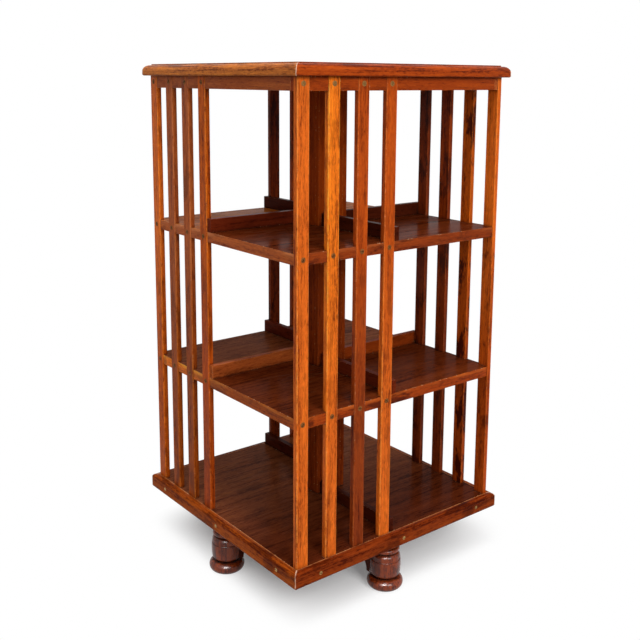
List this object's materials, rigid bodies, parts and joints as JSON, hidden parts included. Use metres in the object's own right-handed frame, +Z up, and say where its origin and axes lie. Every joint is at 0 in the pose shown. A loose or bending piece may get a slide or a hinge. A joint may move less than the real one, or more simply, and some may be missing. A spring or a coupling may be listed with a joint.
{
  "type": "revolving bookcase",
  "caption": "Square open bookcase of wooden shelves and slats that turns on a centre post, above a crossed base with turned feet.",
  "frame": {"origin": "on the floor, on the axis about which the case turns, which is the middle of the base", "axes": "+Z up along the turning axis; -Y is the front face and +X the right face of the square case at rest"},
  "size_m": [0.526, 0.526, 1.01],
  "materials": {
    "slat_wood": "polished orange-brown hardwood with straight grain along the slat",
    "frieze_wood": "polished dark red-brown hardwood",
    "top_wood": "polished red-brown hardwood with a worn bright edge",
    "shelf_wood": "polished dark red-brown hardwood with a bright front edge",
    "moulding_wood": "polished orange-brown hardwood, worn at the upper edge",
    "stop_wood": "polished red-brown hardwood",
    "column_wood": "polished red-brown hardwood",
    "foot_wood": "turned, dark and glossy",
    "rail_wood": "dark and dull",
    "inner_wood": "bare, unpolished",
    "iron": "dark, greased",
    "bush_brass": "dull",
    "screw_brass": "tarnished brown",
    "pin_brass": "worn"
  },
  "bodies": {
    "base": {"centre_post": "inner_wood", "pivot_pin": "iron", "lower_cross_rail": "rail_wood", "upper_cross_rail": "rail_wood", "front_foot": "foot_wood", "right_foot": "foot_wood", "back_foot": "foot_wood", "left_foot": "foot_wood"},
    "case": {"front_slat_1": "slat_wood", "front_slat_2": "slat_wood", "front_slat_3": "slat_wood", "front_slat_4": "slat_wood", "right_slat_1": "slat_wood", "right_slat_2": "slat_wood", "right_slat_3": "slat_wood", "right_slat_4": "slat_wood", "back_slat_1": "slat_wood", "back_slat_2": "slat_wood", "back_slat_3": "slat_wood", "back_slat_4": "slat_wood", "left_slat_1": "slat_wood", "left_slat_2": "slat_wood", "left_slat_3": "slat_wood", "left_slat_4": "slat_wood", "front_frieze": "frieze_wood", "right_frieze": "frieze_wood", "back_frieze": "frieze_wood", "left_frieze": "frieze_wood", "top_panel": "top_wood", "front_top_moulding": "top_wood", "right_top_moulding": "top_wood", "back_top_moulding": "top_wood", "left_top_moulding": "top_wood", "upper_shelf": "shelf_wood", "lower_shelf": "shelf_wood", "bottom_board": "shelf_wood", "front_bottom_moulding": "moulding_wood", "right_bottom_moulding": "moulding_wood", "back_bottom_moulding": "moulding_wood", "left_bottom_moulding": "moulding_wood", "front_upper_stop": "stop_wood", "right_upper_stop": "stop_wood", "back_upper_stop": "stop_wood", "left_upper_stop": "stop_wood", "front_lower_stop": "stop_wood", "right_lower_stop": "stop_wood", "back_lower_stop": "stop_wood", "left_lower_stop": "stop_wood", "right_bottom_stop": "stop_wood", "left_bottom_stop": "stop_wood", "front_column_board": "column_wood", "right_column_board": "column_wood", "back_column_board": "column_wood", "left_column_board": "column_wood", "bearing_block": "inner_wood", "pivot_socket": "iron", "bottom_bush": "bush_brass", "slat_screws": "screw_brass", "moulding_pins": "pin_brass"}
  },
  "joints": [
    {"name": "case_turn", "type": "hinge", "parent": "base", "child": "case", "pos_m": [0, 0, 0], "axis": [0, 0, 1], "continuous": true}
  ]
}
